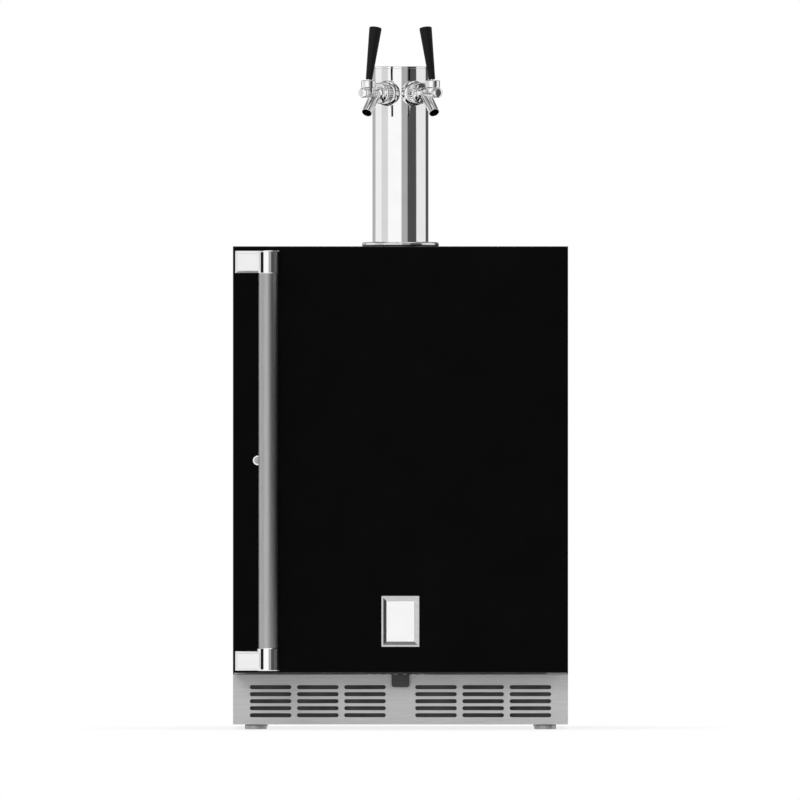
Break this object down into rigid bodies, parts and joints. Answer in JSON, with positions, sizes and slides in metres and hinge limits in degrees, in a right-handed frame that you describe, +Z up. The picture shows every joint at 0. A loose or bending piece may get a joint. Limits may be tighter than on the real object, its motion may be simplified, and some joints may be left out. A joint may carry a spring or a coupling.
{
  "type": "kegerator",
  "caption": "Under-counter keg cooler with a hinged black door, pull handle, kick grille and levelling feet, and a chrome draught tower with lever taps on its top.",
  "frame": {"origin": "on the floor, under the middle of the whole object's box", "axes": "+Z up, -Y the way the door faces, +X to the right as seen from the front"},
  "size_m": [0.606, 0.6924, 1.2753],
  "materials": {
    "black_enamel": "smooth black enamel",
    "white_enamel": "white enamel, bare",
    "chrome": "polished chrome plate",
    "satin_steel": "brushed stainless steel",
    "galvanised_steel": "galvanised sheet",
    "aluminium": "bare fins",
    "black_plastic": "moulded black plastic",
    "grey_plastic": "dark grey moulded plastic",
    "white_plastic": "white formed plastic",
    "foam": "rigid insulating foam",
    "rubber": "magnetic door gasket",
    "brass": "turned brass"
  },
  "bodies": {
    "cabinet": {"left_side_panel": "black_enamel", "right_side_panel": "black_enamel", "top_panel": "black_enamel", "back_panel": "galvanised_steel", "base_pan": "galvanised_steel", "foam_insulation": "foam", "inner_liner": "white_plastic", "keg_floor_plate": "satin_steel", "kick_grille": "satin_steel", "grille_switch_pod": "grey_plastic", "mains_inlet": "black_plastic", "condenser_coil": "aluminium", "condenser_fan_shroud": "galvanised_steel", "condenser_fan_motor": "galvanised_steel", "compressor": "black_enamel", "evaporator_coil": "aluminium", "evaporator_cover": "white_plastic", "evaporator_fan_motor": "galvanised_steel", "control_housing": "grey_plastic", "upper_hinge_bracket": "satin_steel", "lower_hinge_bracket": "satin_steel", "lock_keeper": "satin_steel", "tower_flange": "chrome", "tower_column": "chrome", "tower_cap": "chrome", "tap_shank_left": "brass", "tap_shank_right": "brass", "escutcheon_left": "chrome", "escutcheon_right": "chrome", "coupling_nut_left": "chrome", "coupling_nut_right": "chrome", "faucet_body_left": "chrome", "faucet_body_right": "chrome", "faucet_cap_left": "chrome", "faucet_cap_right": "chrome", "lever_collar_left": "chrome", "lever_collar_right": "chrome"},
    "door": {"door_skin": "black_enamel", "door_core": "foam", "door_inner_panel": "white_plastic", "door_gasket": "rubber", "handle_bar": "satin_steel", "upper_handle_bracket": "chrome", "lower_handle_bracket": "chrome", "badge_frame": "chrome", "badge_plate": "white_enamel", "lock_barrel": "chrome"},
    "lock": {"lock_plug": "satin_steel"},
    "left_lever": {"tap_lever_left": "chrome", "tap_handle_left": "black_plastic"},
    "right_lever": {"tap_lever_right": "chrome", "tap_handle_right": "black_plastic"},
    "left_valve": {"valve_shaft_left": "satin_steel"},
    "right_valve": {"valve_shaft_right": "satin_steel"},
    "condenser_fan": {"condenser_fan": "black_plastic"},
    "evaporator_fan": {"evaporator_fan": "black_plastic"},
    "front_left_foot": {"front_left_foot": "satin_steel"},
    "front_right_foot": {"front_right_foot": "satin_steel"},
    "rear_left_foot": {"rear_left_foot": "satin_steel"},
    "rear_right_foot": {"rear_right_foot": "satin_steel"}
  },
  "joints": [
    {"name": "door_hinge", "type": "hinge", "parent": "cabinet", "child": "door", "pos_m": [0.291, -0.24875, 0.1025], "axis": [0, 0, 1], "range_deg": [0, 110]},
    {"name": "lock_turn", "type": "hinge", "parent": "door", "child": "lock", "pos_m": [-0.258, -0.27405, 0.487], "axis": [0, -1, 0], "range_deg": [0, 90]},
    {"name": "left_lever_pull", "type": "hinge", "parent": "cabinet", "child": "left_lever", "pos_m": [-0.05812, -0.04306, 1.1703], "axis": [0.8829, -0.4695, 0], "range_deg": [0, 40]},
    {"name": "right_lever_pull", "type": "hinge", "parent": "cabinet", "child": "right_lever", "pos_m": [0.05812, -0.04306, 1.1703], "axis": [0.8829, 0.4695, 0], "range_deg": [0, 40]},
    {"name": "left_valve_slide", "type": "slide", "parent": "cabinet", "child": "left_valve", "axis": [0.4695, 0.8829, 0], "range_m": [0, 0.0116]},
    {"name": "right_valve_slide", "type": "slide", "parent": "cabinet", "child": "right_valve", "axis": [-0.4695, 0.8829, 0], "range_m": [0, 0.0116]},
    {"name": "condenser_fan_spin", "type": "hinge", "parent": "cabinet", "child": "condenser_fan", "pos_m": [0.1427, -0.13645, 0.0735], "axis": [0, -1, 0], "continuous": true},
    {"name": "evaporator_fan_spin", "type": "hinge", "parent": "cabinet", "child": "evaporator_fan", "pos_m": [0, 0.22725, 0.7377], "axis": [0, -1, 0], "continuous": true},
    {"name": "front_left_foot_level", "type": "slide", "parent": "cabinet", "child": "front_left_foot", "axis": [0, 0, -1], "range_m": [0, 0.025]},
    {"name": "front_right_foot_level", "type": "slide", "parent": "cabinet", "child": "front_right_foot", "axis": [0, 0, -1], "range_m": [0, 0.025]},
    {"name": "rear_left_foot_level", "type": "slide", "parent": "cabinet", "child": "rear_left_foot", "axis": [0, 0, -1], "range_m": [0, 0.025]},
    {"name": "rear_right_foot_level", "type": "slide", "parent": "cabinet", "child": "rear_right_foot", "axis": [0, 0, -1], "range_m": [0, 0.025]}
  ],
  "couplings": [
    {"joint": "left_valve_slide", "follows": "left_lever_pull", "m_per_rad": 0.016593},
    {"joint": "right_valve_slide", "follows": "right_lever_pull", "m_per_rad": 0.016593}
  ]
}
